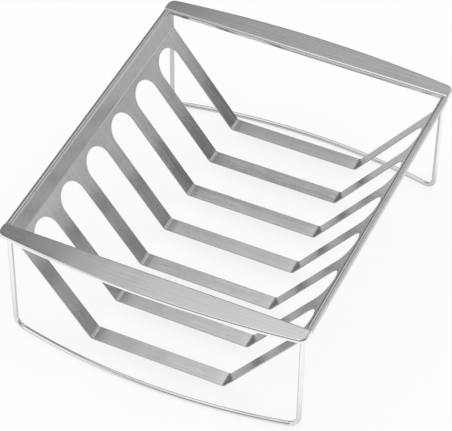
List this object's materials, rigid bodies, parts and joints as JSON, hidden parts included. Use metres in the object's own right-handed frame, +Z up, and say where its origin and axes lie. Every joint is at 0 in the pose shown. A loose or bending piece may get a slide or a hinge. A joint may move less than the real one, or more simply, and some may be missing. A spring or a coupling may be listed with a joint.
{
  "type": "roasting rack",
  "caption": "Slotted trough folded from steel sheet, between two flat handles on bent wire feet, that holds a roast up off the floor of its pan.",
  "frame": {"origin": "on the table, under the middle of the rack", "axes": "+X along the handles, +Y along the trough towards the rear handle, +Z up"},
  "size_m": [0.26, 0.3266, 0.1125],
  "materials": {
    "brushed_sheet": "fine brushed stainless steel sheet, with polished rims",
    "polished_wire": "bright polished stainless steel wire"
  },
  "bodies": {
    "root": {"trough": "brushed_sheet", "front_handle": "brushed_sheet", "rear_handle": "brushed_sheet", "front_foot": "polished_wire", "rear_foot": "polished_wire"}
  },
  "joints": []
}
